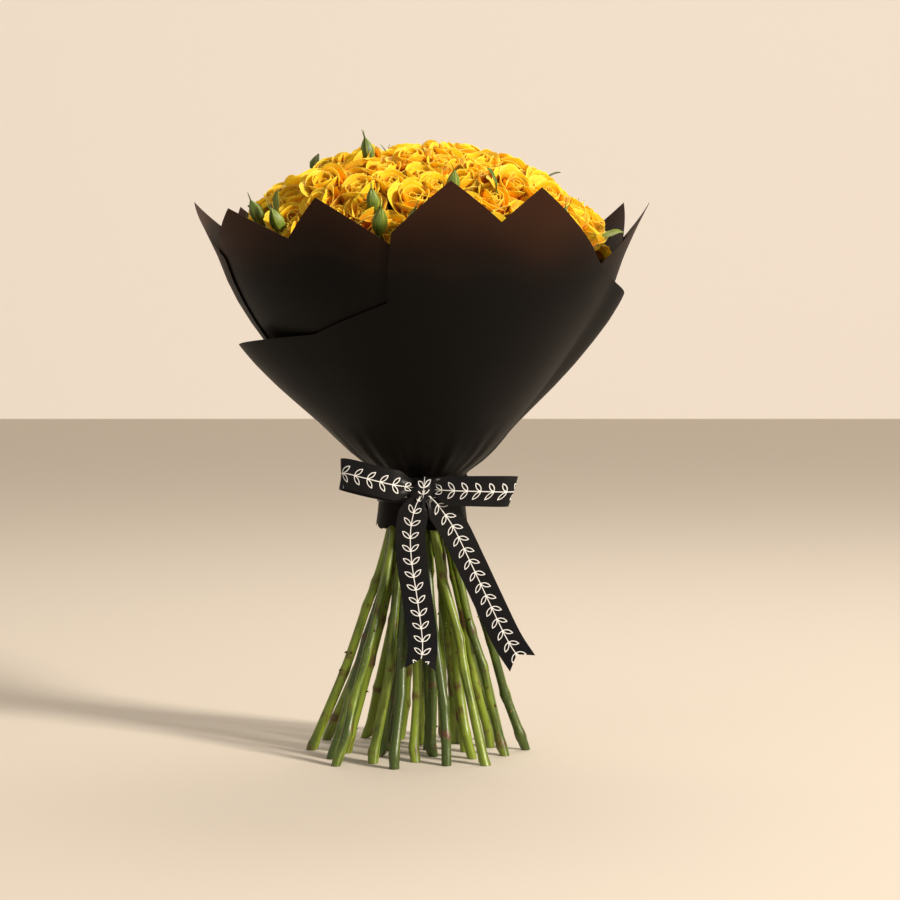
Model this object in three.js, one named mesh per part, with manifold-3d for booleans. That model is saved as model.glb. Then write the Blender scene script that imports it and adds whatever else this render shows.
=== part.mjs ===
// A hand-tied bouquet of yellow spray roses, standing on its cut stems in black wrapping paper.
// Units are millimetres. +Z is up, the bow faces -Y and the cut stem ends stand on the plane Z = 0.
import * as THREE from "three";
import Module from "manifold-3d";
import { mergeVertices } from "three/addons/utils/BufferGeometryUtils.js";

const wasm = await Module();
wasm.setup();

// ---- driving dimensions ----

const TIE_HEIGHT = 225; // where the stems cross and are tied
const GAP = 0.6; // between neighbours that touch in the real bouquet

const DOME = { centre: 306, rootRadius: 163, rose: 52, innerRadius: 156 };
const SPRAY_RINGS = [
  { count: 1, lean: 0, turn: 0 },
  { count: 6, lean: 20.5, turn: 15 },
  { count: 11, lean: 41.5, turn: 0 },
];
const NEIGHBOUR_ANGLE = 40; // sprays nearer than this press on each other, in degrees

const STEM = {
  count: 28,
  pitch: 5.1, // scale of the sunflower pattern at the tie
  thin: 6.4,
  spread: 1.0, // thickest less thinnest
  sides: 6,
  steps: 9,
  flareBelow: 64, // how far below the tie the bundle takes to widen
  flareAbove: 42,
  lean: 7, // how far the feet are swept to the left
  twist: 0.4, // of the spiral hand tie
};
const GOLDEN_ANGLE = Math.PI * (3 - Math.sqrt(5));

// Radius of the innermost paper at each height, from the gathered collar up to the crown.
const PAPER = { thickness: 0.6, layer: 1, crownSpread: 2.5, collarTop: 240, crownFrom: 440 };
const PAPER_PROFILE = [
  [194, 35.6], [212, 33.2], [237, 32.8], [245, 44], [256, 56], [280, 76],
  [311, 103], [348, 131], [383, 154], [400, 161], [421, 167], [445, 179], [472, 194],
];
const PAPER_ROWS = [194, 212, 237, 245, 256, 280, 311, 348, 383, 410];
const ROW_GAP = 2; // least height between rows, where a corner is cut low

// Each sheet: its top edge as [degrees round the bouquet, height], its layers from the
// innermost at both ends, and how far a loose corner stands off. 270 degrees is the front.
const SHEETS = [
  {
    name: "wrap_sheet_right", layers: [0, 1.6],
    edge: [[-60, 405], [-30, 412], [-3, 466], [12, 440], [26, 416]],
  },
  {
    name: "wrap_sheet_right_back", layers: [0, 1.6],
    edge: [[4, 420], [24, 468], [42, 430], [60, 472], [80, 424]],
  },
  {
    name: "wrap_sheet_back", layers: [0, 1.6],
    edge: [[72, 424], [92, 472], [107, 434], [122, 470], [142, 424]],
  },
  {
    name: "wrap_sheet_left_back", layers: [0, 1.6],
    edge: [[130, 424], [148, 466], [158, 440], [176, 467], [199, 418]],
  },
  {
    name: "wrap_sheet_left", layers: [0, 1.6],
    edge: [[188, 415], [214, 458], [233, 433], [245, 464], [268, 416]],
  },
  {
    name: "wrap_sheet_right_outer", layers: [2, 2.2], corner: { at: 357, reach: 16, out: 11 },
    edge: [[298, 400], [320, 412], [340, 404], [357, 389]],
  },
  {
    name: "wrap_sheet_front", layers: [3.2, 3.2], corner: { at: 185, reach: 50, out: 22 },
    edge: [
      [185, 346], [211, 352], [233, 357], [260, 382], [263, 436],
      [277, 476], [290, 445], [299, 472], [331, 408],
    ],
  },
];
const COLUMNS_PER_EDGE = 3;

const RIBBON = { width: 25, thickness: 0.8, notch: 9, bandHeight: 22, bandRadius: 38.6, bandSides: 32 };
const KNOT = { centre: [2, -46, 227], half: [8.5, 5.5, 10] };
const LOOP_STEPS = 16;
const TAIL_STEPS = 12;
const LEFT_LOOP = [
  [-9, -48, 229], [-24, -57, 231], [-46, -59, 237], [-61, -56, 241],
  [-66, -51, 242], [-60, -47, 241], [-40, -48, 236], [-22, -47, 231], [-9, -45, 229],
];
const RIGHT_LOOP = [
  [13, -45, 227], [26, -47, 227], [48, -48, 226], [68, -47, 225],
  [75, -51, 225], [69, -56, 225], [50, -59, 226], [28, -57, 227], [13, -48, 227],
];
const LEFT_TAIL = [[-6, -52, 211], [-10, -50, 192], [-8, -52, 167], [-3, -55, 134], [1, -62, 101], [-1, -69, 80]];
const RIGHT_TAIL = [[18, -47, 203], [29, -45, 189], [41, -45, 166], [55, -48, 136], [71, -52, 103], [84, -56, 83]];

// ---- materials ----

const petal = new THREE.MeshStandardMaterial({ color: 0xf6b40c, roughness: 0.6, metalness: 0 });
const bark = new THREE.MeshStandardMaterial({ color: 0x6f8a2e, roughness: 0.55, metalness: 0 });
const paper = new THREE.MeshStandardMaterial({ color: 0x17120f, roughness: 0.5, metalness: 0 });
const satin = new THREE.MeshStandardMaterial({ color: 0x0e0e0f, roughness: 0.45, metalness: 0 });

// ---- solids ----

/** A closed three.js geometry as a manifold solid. */
function toSolid(geometry) {
  const bare = geometry.clone();
  bare.deleteAttribute("normal");
  bare.deleteAttribute("uv");
  const merged = mergeVertices(bare, 1e-4);
  const mesh = new wasm.Mesh({
    numProp: 3,
    vertProperties: Float32Array.from(merged.attributes.position.array),
    triVerts: Uint32Array.from(merged.index.array),
  });
  return new wasm.Manifold(mesh);
}

/** A manifold solid as a three.js geometry. */
function toGeometry(solid) {
  const mesh = solid.getMesh();
  const geometry = new THREE.BufferGeometry();
  geometry.setAttribute("position", new THREE.BufferAttribute(mesh.vertProperties, 3));
  geometry.setIndex(new THREE.BufferAttribute(mesh.triVerts, 1));
  geometry.computeVertexNormals();
  return geometry;
}

/** Everything on one side of the plane through a point: a large box whose face lies on it. */
function halfSpace(point, normal) {
  const size = 1200;
  const box = new THREE.BoxGeometry(size, size, size);
  box.applyQuaternion(new THREE.Quaternion().setFromUnitVectors(new THREE.Vector3(0, 0, 1), normal));
  const middle = point.clone().addScaledVector(normal, size / 2);
  box.translate(middle.x, middle.y, middle.z);
  return toSolid(box);
}

/** A thin box whose every vertex is moved by place(across, along, side), all three in its own units. */
function bentSheet(columns, rows, place) {
  const geometry = new THREE.BoxGeometry(1, 1, 1, columns, rows, 1);
  const position = geometry.attributes.position;
  for (let i = 0; i < position.count; i += 1) {
    const moved = place(position.getX(i) + 0.5, position.getY(i) + 0.5, position.getZ(i));
    position.setXYZ(i, moved.x, moved.y, moved.z);
  }
  return geometry;
}

/** Linear reading of a table of [place, value] pairs. */
function readTable(table, place) {
  let low = table[0];
  for (const high of table.slice(1)) {
    if (place <= high[0]) {
      return THREE.MathUtils.mapLinear(Math.max(place, low[0]), low[0], high[0], low[1], high[1]);
    }
    low = high;
  }
  return low[1];
}

// ---- stems ----

/** How much wider the bundle is at a height than at the tie. */
function bundleScale(height) {
  const flare = height < TIE_HEIGHT ? STEM.flareBelow : STEM.flareAbove;
  return Math.hypot(1, (height - TIE_HEIGHT) / flare);
}

/** How far the bundle has turned at a height, because every stem is laid on at the same slant. */
function bundleTurn(height) {
  const flare = height < TIE_HEIGHT ? STEM.flareBelow : STEM.flareAbove;
  return -STEM.twist * Math.atan((height - TIE_HEIGHT) / flare);
}

/** The middle of one stem at a height. */
function stemPoint(number, height) {
  const radius = STEM.pitch * Math.sqrt(number + 0.5) * bundleScale(height);
  const angle = number * GOLDEN_ANGLE + bundleTurn(height);
  const drop = Math.max(0, (TIE_HEIGHT - height) / TIE_HEIGHT);
  const sideways = radius * Math.cos(angle) - STEM.lean * drop * drop;
  return new THREE.Vector3(sideways, radius * Math.sin(angle), height);
}

/** The height at which a stem runs into the underside of the roses. */
function stemTop(number) {
  const centre = new THREE.Vector3(0, 0, DOME.centre);
  let height = TIE_HEIGHT;
  const reach = DOME.innerRadius - STEM.thin / 2 - GAP;
  while (height < DOME.centre || stemPoint(number, height).distanceTo(centre) < reach) {
    height += 1;
  }
  return height - 1;
}

/** One stem: a tube along its curve, cut flat where it stands. */
function stemGeometry(number) {
  const diameter = STEM.thin + STEM.spread * ((number * 0.618) % 1);
  const outline = new THREE.Shape();
  outline.absarc(0, 0, diameter / 2, 0, 2 * Math.PI);
  const points = [];
  const foot = -10;
  const top = stemTop(number);
  for (let step = 0; step <= STEM.steps; step += 1) {
    points.push(stemPoint(number, THREE.MathUtils.lerp(foot, top, step / STEM.steps)));
  }
  const tube = new THREE.ExtrudeGeometry(outline, {
    steps: STEM.steps,
    curveSegments: STEM.sides,
    bevelEnabled: false,
    extrudePath: new THREE.CatmullRomCurve3(points),
  });
  const ground = halfSpace(new THREE.Vector3(0, 0, 0), new THREE.Vector3(0, 0, -1));
  return toGeometry(toSolid(tube).subtract(ground));
}

// ---- roses ----

/** The directions from the middle of the dome to each spray of roses. */
function sprayDirections() {
  const directions = [];
  for (const ring of SPRAY_RINGS) {
    for (let i = 0; i < ring.count; i += 1) {
      const lean = THREE.MathUtils.degToRad(ring.lean);
      const turn = THREE.MathUtils.degToRad(ring.turn + (360 * i) / ring.count);
      directions.push(new THREE.Vector3().setFromSphericalCoords(1, lean, turn).applyAxisAngle(
        new THREE.Vector3(1, 0, 0), Math.PI / 2));
    }
  }
  return directions;
}

/** One spray's roses: a round cushion, flattened where its neighbours press and hollowed below. */
function sprayGeometry(direction, directions) {
  const centre = new THREE.Vector3(0, 0, DOME.centre);
  const ball = new THREE.SphereGeometry(DOME.rose, 14, 10);
  const place = centre.clone().addScaledVector(direction, DOME.rootRadius);
  ball.translate(place.x, place.y, place.z);
  const inside = new THREE.SphereGeometry(DOME.innerRadius, 32, 20);
  inside.translate(centre.x, centre.y, centre.z);
  let solid = toSolid(ball).subtract(toSolid(inside));
  const near = Math.cos(THREE.MathUtils.degToRad(NEIGHBOUR_ANGLE));
  for (const other of directions) {
    if (other !== direction && other.dot(direction) > near) {
      const normal = other.clone().sub(direction).normalize();
      const edge = centre.clone().addScaledVector(normal, -GAP / 2);
      solid = solid.subtract(halfSpace(edge, normal));
    }
  }
  return toGeometry(solid);
}

// ---- paper ----

/** One sheet of paper, gathered round the tie and open at the top, with its corners as peaks. */
function sheetGeometry(sheet) {
  const columns = COLUMNS_PER_EDGE * (sheet.edge.length - 1);
  const rows = PAPER_ROWS.length;
  const first = sheet.edge[0][0];
  const last = sheet.edge.at(-1)[0];
  return bentSheet(columns, rows, (across, along, side) => {
    const column = Math.round(across * columns);
    const piece = Math.min(Math.floor(column / COLUMNS_PER_EDGE), sheet.edge.length - 2);
    const share = column / COLUMNS_PER_EDGE - piece;
    const degrees = THREE.MathUtils.lerp(sheet.edge[piece][0], sheet.edge[piece + 1][0], share);
    const top = readTable(sheet.edge, degrees);
    const row = Math.round(along * rows);
    const height = Math.min(row < rows ? PAPER_ROWS[row] : top, top - ROW_GAP * (rows - row));
    return paperPoint(sheet, degrees, (degrees - first) / (last - first), height, side);
  });
}

/** A point of a sheet: side runs from -0.5 on its inner face to 0.5 on its outer face. */
function paperPoint(sheet, degrees, share, height, side) {
  const openness = THREE.MathUtils.smoothstep(height, PAPER.collarTop, PAPER.crownFrom);
  const layer = THREE.MathUtils.lerp(sheet.layers[0], sheet.layers[1], share) * PAPER.layer;
  let radius = readTable(PAPER_PROFILE, height);
  radius += layer * THREE.MathUtils.lerp(1, PAPER.crownSpread, openness);
  if (sheet.corner) {
    const near = 1 - THREE.MathUtils.smoothstep(Math.abs(degrees - sheet.corner.at), 0, sheet.corner.reach);
    radius += sheet.corner.out * near * THREE.MathUtils.smoothstep(height, PAPER.collarTop, sheet.edge[0][1]);
  }
  radius += PAPER.thickness * (side + 0.5);
  const angle = THREE.MathUtils.degToRad(degrees);
  return new THREE.Vector3(radius * Math.cos(angle), radius * Math.sin(angle), height);
}

// ---- ribbon ----

/** The band of ribbon round the paper. */
function bandGeometry() {
  const inner = RIBBON.bandRadius - RIBBON.thickness;
  const low = -RIBBON.bandHeight / 2;
  const profile = [
    new THREE.Vector2(inner, low),
    new THREE.Vector2(RIBBON.bandRadius, low),
    new THREE.Vector2(RIBBON.bandRadius, -low),
    new THREE.Vector2(inner, -low),
    new THREE.Vector2(inner, low),
  ];
  const band = new THREE.LatheGeometry(profile, RIBBON.bandSides);
  band.rotateX(Math.PI / 2);
  band.translate(0, 0, TIE_HEIGHT);
  return band;
}

/** A length of ribbon along points. Its faces look along facing, or stand upright without one. */
function ribbonGeometry(points, steps, facing, notch) {
  const curve = new THREE.CatmullRomCurve3(points.map((point) => new THREE.Vector3(...point)));
  const notchShare = notch / curve.getLength();
  return bentSheet(2, steps, (across, along, side) => {
    const middle = Math.abs(across - 0.5) < 0.1;
    const share = along > 0.99 && middle ? along - notchShare : along;
    const tangent = curve.getTangentAt(share);
    const up = new THREE.Vector3(0, 0, 1);
    const over = facing ? tangent.clone().cross(facing).normalize() : up;
    const normal = over.clone().cross(tangent).normalize();
    return curve.getPointAt(share)
      .addScaledVector(over, (across - 0.5) * RIBBON.width)
      .addScaledVector(normal, side * RIBBON.thickness);
  });
}

/** The knot of the bow. */
function knotGeometry() {
  const knot = new THREE.SphereGeometry(1, 12, 8);
  knot.scale(...KNOT.half);
  knot.translate(...KNOT.centre);
  return knot;
}

// ---- the bouquet ----

const bouquet = new THREE.Group();

/** Add one named piece to the bouquet. */
function addPiece(name, geometry, material) {
  const mesh = new THREE.Mesh(geometry, material);
  mesh.name = name;
  bouquet.add(mesh);
}

/** A piece's number as two digits. */
function twoDigits(index) {
  return String(index + 1).padStart(2, "0");
}

for (let number = 0; number < STEM.count; number += 1) {
  addPiece(`rose_stem_${twoDigits(number)}`, stemGeometry(number), bark);
}
const directions = sprayDirections();
directions.forEach((direction, index) => {
  addPiece(`rose_spray_${twoDigits(index)}`, sprayGeometry(direction, directions), petal);
});
for (const sheet of SHEETS) {
  addPiece(sheet.name, sheetGeometry(sheet), paper);
}
const front = new THREE.Vector3(0, -1, 0);
addPiece("ribbon_band", bandGeometry(), satin);
addPiece("ribbon_knot", knotGeometry(), satin);
addPiece("ribbon_loop_left", ribbonGeometry(LEFT_LOOP, LOOP_STEPS, null, 0), satin);
addPiece("ribbon_loop_right", ribbonGeometry(RIGHT_LOOP, LOOP_STEPS, null, 0), satin);
addPiece("ribbon_tail_left", ribbonGeometry(LEFT_TAIL, TAIL_STEPS, front, RIBBON.notch), satin);
addPiece("ribbon_tail_right", ribbonGeometry(RIGHT_TAIL, TAIL_STEPS, front, RIBBON.notch), satin);

const box = new THREE.Box3().setFromObject(bouquet);
const middle = box.getCenter(new THREE.Vector3());
bouquet.position.set(-middle.x, -middle.y, 0);

export default bouquet;
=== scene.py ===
"""A hand-tied bouquet of yellow spray roses in black paper, standing on its cut stems."""

import logging
import math
from dataclasses import dataclass, field
from enum import Enum
from typing import Any, Sequence

import bpy
import numpy as np
from mathutils import Matrix, Vector


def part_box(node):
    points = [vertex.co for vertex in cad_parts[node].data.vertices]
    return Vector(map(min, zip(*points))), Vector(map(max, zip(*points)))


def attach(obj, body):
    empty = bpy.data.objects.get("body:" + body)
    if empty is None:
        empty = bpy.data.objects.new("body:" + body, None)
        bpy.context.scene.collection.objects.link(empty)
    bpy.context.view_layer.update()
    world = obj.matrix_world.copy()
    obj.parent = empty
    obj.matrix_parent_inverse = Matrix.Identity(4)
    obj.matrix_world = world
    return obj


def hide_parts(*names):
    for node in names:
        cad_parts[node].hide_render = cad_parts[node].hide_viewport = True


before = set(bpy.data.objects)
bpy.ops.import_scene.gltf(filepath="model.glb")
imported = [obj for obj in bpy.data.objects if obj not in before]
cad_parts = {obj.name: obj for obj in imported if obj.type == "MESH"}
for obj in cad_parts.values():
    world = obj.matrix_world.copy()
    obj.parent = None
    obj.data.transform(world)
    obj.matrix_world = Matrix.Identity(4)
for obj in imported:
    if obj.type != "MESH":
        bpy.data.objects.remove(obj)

log = logging.getLogger("bouquet")
MM = 0.001
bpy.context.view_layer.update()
GOLDEN_ANGLE = math.pi * (3.0 - math.sqrt(5.0))
Array = np.ndarray


# ---- small helpers ----


def smooth(value: Any, low: float, high: float) -> Any:
    """Ease from 0 at low to 1 at high.

    Args:
        value: A number or an array of numbers.
        low: Where the ramp starts.
        high: Where the ramp ends.

    Returns:
        The eased share, of the same shape as value.
    """
    share = np.clip((np.asarray(value, dtype=float) - low) / (high - low), 0.0, 1.0)
    return share * share * (3.0 - 2.0 * share)


def smooth_path(points: Sequence[Sequence[float]], count: int) -> Array:
    """Evenly spaced points on a smooth curve through a few points.

    Args:
        points: The points the curve passes through.
        count: How many points to return.

    Returns:
        An array of count by 3.
    """
    rough = np.asarray(points, dtype=float)
    ends = np.vstack([2 * rough[0] - rough[1], rough, 2 * rough[-1] - rough[-2]])
    fine = []
    for i in range(len(rough) - 1):
        a, b, c, d = ends[i : i + 4]
        for t in np.linspace(0.0, 1.0, 24, endpoint=False):
            fine.append(
                0.5 * (2 * b + (c - a) * t + (2 * a - 5 * b + 4 * c - d) * t**2
                       + (3 * b - a - 3 * c + d) * t**3)
            )
    fine.append(rough[-1])
    fine_points = np.array(fine)
    steps = np.linalg.norm(np.diff(fine_points, axis=0), axis=1)
    length = np.concatenate([[0.0], np.cumsum(steps)])
    wanted = np.linspace(0.0, length[-1], count)
    return np.column_stack([np.interp(wanted, length, fine_points[:, k]) for k in range(3)])


def unit(vectors: Array) -> Array:
    """Vectors scaled to length one along their last axis."""
    return vectors / np.maximum(np.linalg.norm(vectors, axis=-1, keepdims=True), 1e-9)


def grid_normals(grid: Array) -> Array:
    """Unit normals of a grid of points, along columns crossed with rows."""
    return unit(np.cross(np.gradient(grid, axis=1), np.gradient(grid, axis=0)))


def wall_uv(u: Array, v: Array, shape: tuple[int, ...]) -> Array:
    """Texture places of a wall, from 0 to 1 across and along it.

    Args:
        u: Places across, from -1 to 1.
        v: Places along, from 0 to 1.
        shape: The wall's rows and columns.

    Returns:
        Rows by columns by 2 texture places.
    """
    return np.stack([np.broadcast_to(u * 0.5 + 0.5, shape), np.broadcast_to(v, shape)], axis=-1)


def turned(angle: float) -> Array:
    """The matrix of a turn about +Z, for rows of points multiplied on its left side."""
    return np.array(Matrix.Rotation(angle, 3, "Z")).T


@dataclass
class Shell:
    """Collects closed thin walls and tubes and makes one mesh of them, in millimetres."""

    points: list[Array] = field(default_factory=list)
    uvs: list[Array] = field(default_factory=list)
    tones: list[Array] = field(default_factory=list)
    faces: list[Array] = field(default_factory=list)
    slots: list[Array] = field(default_factory=list)
    count: int = 0

    def add(self, points: Array, uv: Array, tone: Array, faces: Array, slots: Array) -> None:
        """Append one closed body.

        Args:
            points: Its points in millimetres.
            uv: The texture place of each point.
            tone: The two material numbers of each point.
            faces: Rows of four of its point numbers; a triangle repeats its last one.
            slots: The material slot of each face.
        """
        self.points.append(points)
        self.uvs.append(uv)
        self.tones.append(tone)
        self.faces.append(faces + self.count)
        self.slots.append(slots)
        self.count += len(points)

    def wall(
        self,
        grid: Array,
        uv: Array,
        thickness: float,
        tone: tuple[float, float] = (0.0, 0.0),
        back_slot: int = 0,
    ) -> None:
        """Add a thin closed wall over a grid of points.

        Args:
            grid: Rows by columns by 3 points of the middle surface.
            uv: Rows by columns by 2 texture places.
            thickness: How thick the wall is.
            tone: Two numbers that the material may read, the same all over the wall.
            back_slot: The material slot of the back face and the edges.
        """
        rows, columns = grid.shape[:2]
        lift = grid_normals(grid) * (thickness / 2.0)
        points = np.concatenate([(grid + lift).reshape(-1, 3), (grid - lift).reshape(-1, 3)])
        half = rows * columns
        index = np.arange(half).reshape(rows, columns)
        a, b = index[:-1, :-1].ravel(), index[:-1, 1:].ravel()
        c, d = index[1:, 1:].ravel(), index[1:, :-1].ravel()
        front = np.column_stack([a, b, c, d])
        back = np.column_stack([a, d, c, b]) + half
        rim = np.concatenate([index[0, :], index[1:, -1], index[-1, -2::-1], index[-2:0:-1, 0]])
        after = np.roll(rim, -1)
        side = np.column_stack([rim, rim + half, after + half, after])
        faces = np.concatenate([front, back, side])
        slots = np.concatenate([np.zeros(len(front)), np.full(len(back) + len(side), back_slot)])
        flat_uv = uv.reshape(-1, 2)
        tones = np.tile(np.array(tone, dtype=float), (2 * half, 1))
        self.add(points, np.concatenate([flat_uv, flat_uv]), tones, faces, slots)

    def tube(
        self,
        path: Array,
        radii: Array,
        sides: int,
        tone: tuple[float, float] | Array = (0.0, 0.0),
        cap_slot: int = 0,
    ) -> None:
        """Add a closed tube with a round section along a path.

        Args:
            path: The points of its middle line.
            radii: Its radius at each point.
            sides: How many sides its section has.
            tone: Two numbers that the material may read, or two for each point of the path.
            cap_slot: The material slot of the flat end caps.
        """
        tangent = unit(np.gradient(path, axis=0))
        side = unit(np.cross(tangent, np.array([0.31, 0.95, 0.05])))
        over = np.cross(tangent, side)
        turn = np.linspace(0.0, 2.0 * math.pi, sides, endpoint=False)
        ring = (np.cos(turn)[None, :, None] * side[:, None, :]
                + np.sin(turn)[None, :, None] * over[:, None, :])
        points = (path[:, None, :] + ring * np.asarray(radii)[:, None, None]).reshape(-1, 3)
        rows = len(path)
        index = np.arange(rows * sides).reshape(rows, sides)
        nxt = np.roll(index, -1, axis=1)
        corners = (index[:-1], nxt[:-1], nxt[1:], index[1:])
        walls = np.column_stack([corner.ravel() for corner in corners])
        low, high = rows * sides, rows * sides + 1
        points = np.vstack([points, path[0], path[-1]])
        foot = np.column_stack([nxt[0], index[0], np.full(sides, low), np.full(sides, low)])
        head = np.column_stack([index[-1], nxt[-1], np.full(sides, high), np.full(sides, high)])
        along = np.concatenate([[0.0], np.cumsum(np.linalg.norm(np.diff(path, axis=0), axis=1))])
        uv = np.column_stack([np.tile(turn, rows), np.repeat(along, sides)])
        uv = np.vstack([uv, [0.0, 0.0], [0.0, along[-1]]])
        slots = np.concatenate([np.zeros(len(walls)), np.full(2 * sides, cap_slot)])
        pairs = np.broadcast_to(np.array(tone, dtype=float), (rows, 2))
        tones = np.vstack([np.repeat(pairs, sides, axis=0), pairs[0], pairs[-1]])
        self.add(points, uv, tones, np.concatenate([walls, foot, head]), slots)

    def build(
        self, name: str, materials: Sequence[bpy.types.Material], sharp: float = 50.0
    ) -> bpy.types.Object:
        """Make the object.

        Args:
            name: The piece's name.
            materials: Its materials, in slot order.
            sharp: Edges sharper than this many degrees are shaded as edges.

        Returns:
            The new object, in metres, at the origin.
        """
        points = np.concatenate(self.points) * MM
        faces = [
            [int(v) for v in face[:3]] if face[2] == face[3] else [int(v) for v in face]
            for face in np.concatenate(self.faces)
        ]
        mesh = bpy.data.meshes.new(name)
        mesh.from_pydata([tuple(p) for p in points], [], faces)
        mesh.polygons.foreach_set("material_index", np.concatenate(self.slots).astype(np.int32))
        corner = np.empty(len(mesh.loops), dtype=np.int32)
        mesh.loops.foreach_get("vertex_index", corner)
        for layer, values in (("Along", self.uvs), ("Tone", self.tones)):
            uv_layer = mesh.uv_layers.new(name=layer)
            uv_layer.data.foreach_set("uv", np.concatenate(values)[corner].astype(np.float32).ravel())
        mesh.polygons.foreach_set("use_smooth", np.ones(len(mesh.polygons), dtype=bool))
        mesh.set_sharp_from_angle(angle=math.radians(sharp))
        for material in materials:
            mesh.materials.append(material)
        mesh.update()
        piece = bpy.data.objects.new(name, mesh)
        bpy.context.scene.collection.objects.link(piece)
        return piece


def finish_piece(piece: bpy.types.Object, slot: str, *nodes: str) -> bpy.types.Object:
    """Fix a piece to the bouquet and hide the plain solids that it stands for.

    Args:
        piece: The finished piece.
        slot: Not used.
        nodes: The plain solids that the piece stands for.

    Returns:
        The same piece.
    """
    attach(piece, "root")
    if nodes:
        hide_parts(*nodes)
    log.info("made %s with %d faces", piece.name, len(piece.data.polygons))
    return piece


# ---- shader maths ----


class Signal:
    """A socket that can be added, multiplied and so on, building Math nodes."""

    def __init__(self, tree: bpy.types.NodeTree, socket: Any) -> None:
        """Wrap a socket or hold a number."""
        self.tree = tree
        self.socket = socket

    def _math(self, operation: str, *others: Any, first: Any = None) -> "Signal":
        """Join this signal and others in one Math node."""
        node = self.tree.nodes.new("ShaderNodeMath")
        node.operation = operation
        values = [self if first is None else first, *others]
        for place, value in enumerate(values):
            if isinstance(value, Signal):
                self.tree.links.new(value.socket, node.inputs[place])
            else:
                node.inputs[place].default_value = value
        return Signal(self.tree, node.outputs[0])

    def __add__(self, other: Any) -> "Signal":
        """Sum."""
        return self._math("ADD", other)

    __radd__ = __add__

    def __sub__(self, other: Any) -> "Signal":
        """Difference."""
        return self._math("SUBTRACT", other)

    def __rsub__(self, other: Any) -> "Signal":
        """Difference the other way round."""
        return self._math("SUBTRACT", self, first=other)

    def __mul__(self, other: Any) -> "Signal":
        """Product."""
        return self._math("MULTIPLY", other)

    __rmul__ = __mul__

    def __truediv__(self, other: Any) -> "Signal":
        """Quotient."""
        return self._math("DIVIDE", other)

    def absolute(self) -> "Signal":
        """This signal without its sign."""
        return self._math("ABSOLUTE")

    def root(self) -> "Signal":
        """Square root."""
        return self._math("SQRT")

    def fraction(self) -> "Signal":
        """What is left over whole numbers."""
        return self._math("FRACT")

    def sine(self) -> "Signal":
        """Sine of this signal in radians."""
        return self._math("SINE")

    def greatest(self, other: Any) -> "Signal":
        """The greater of two signals."""
        return self._math("MAXIMUM", other)

    def ramp(self, low: float, high: float) -> "Signal":
        """Ease from 0 at low to 1 at high."""
        node = self.tree.nodes.new("ShaderNodeMapRange")
        node.interpolation_type = "SMOOTHSTEP"
        node.inputs["From Min"].default_value = low
        node.inputs["From Max"].default_value = high
        self.tree.links.new(self.socket, node.inputs["Value"])
        return Signal(self.tree, node.outputs["Result"])


Colour = tuple[float, float, float]
Point = tuple[float, float, float]


class Shader:
    """Builds one Principled material."""

    def __init__(self, name: str, **settings: Any) -> None:
        """Start a material and set the Principled shader's own sockets.

        Args:
            name: The material's name.
            settings: Values by socket name, with underscores for spaces.
        """
        self.material = bpy.data.materials.new(name)
        self.material.use_nodes = True
        self.tree = self.material.node_tree
        self.body = self.tree.nodes["Principled BSDF"]
        for key, value in settings.items():
            self.body.inputs[key.replace("_", " ")].default_value = value

    def node(self, kind: str, settings: dict[str, Any] | None = None, **inputs: Any) -> Any:
        """Add a node.

        Args:
            kind: The node's type.
            settings: Its properties.
            inputs: Values or signals by socket name, with underscores for spaces.

        Returns:
            The node.
        """
        node = self.tree.nodes.new(kind)
        for key, value in (settings or {}).items():
            setattr(node, key, value)
        for key, value in inputs.items():
            socket = node.inputs[key.replace("_", " ")]
            if isinstance(value, Signal):
                self.tree.links.new(value.socket, socket)
            else:
                socket.default_value = value
        return node

    def uv(self, layer: str) -> tuple[Signal, Signal]:
        """The two numbers of a texture layer."""
        source = self.node("ShaderNodeUVMap", {"uv_map": layer})
        split = self.node("ShaderNodeSeparateXYZ", Vector=Signal(self.tree, source.outputs["UV"]))
        return Signal(self.tree, split.outputs["X"]), Signal(self.tree, split.outputs["Y"])

    def place(self) -> Signal:
        """Object coordinates."""
        return Signal(self.tree, self.node("ShaderNodeTexCoord").outputs["Object"])

    def height(self) -> Signal:
        """Height above the surface the bouquet stands on, in metres."""
        split = self.node("ShaderNodeSeparateXYZ", Vector=self.place())
        return Signal(self.tree, split.outputs["Z"])

    def vector(self, x: Any, y: Any, z: Any = 0.0) -> Signal:
        """A vector of three signals or numbers."""
        node = self.node("ShaderNodeCombineXYZ", X=x, Y=y, Z=z)
        return Signal(self.tree, node.outputs["Vector"])

    def noise(self, scale: float, detail: float = 2.0, where: Signal | None = None) -> Signal:
        """Soft noise from 0 to 1."""
        node = self.node("ShaderNodeTexNoise", Vector=where or self.place(), Scale=scale, Detail=detail)
        return Signal(self.tree, node.outputs["Fac"])

    def mix(self, share: Any, low: Any, high: Any) -> Signal:
        """Blend two colours."""
        node = self.tree.nodes.new("ShaderNodeMix")
        node.data_type = "RGBA"
        for socket, value in ((node.inputs[0], share), (node.inputs[6], low), (node.inputs[7], high)):
            if isinstance(value, Signal):
                self.tree.links.new(value.socket, socket)
            elif isinstance(value, tuple):
                socket.default_value = (*value, 1.0)
            else:
                socket.default_value = value
        return Signal(self.tree, node.outputs[2])

    def bump(self, height: Signal, strength: float, distance: float) -> None:
        """Raise the surface by a height signal."""
        node = self.node("ShaderNodeBump", Strength=strength, Distance=distance, Height=height)
        self.tree.links.new(node.outputs["Normal"], self.body.inputs["Normal"])

    def feed(self, socket: str, signal: Signal) -> None:
        """Link a signal to one of the Principled shader's sockets."""
        self.tree.links.new(signal.socket, self.body.inputs[socket])


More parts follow.
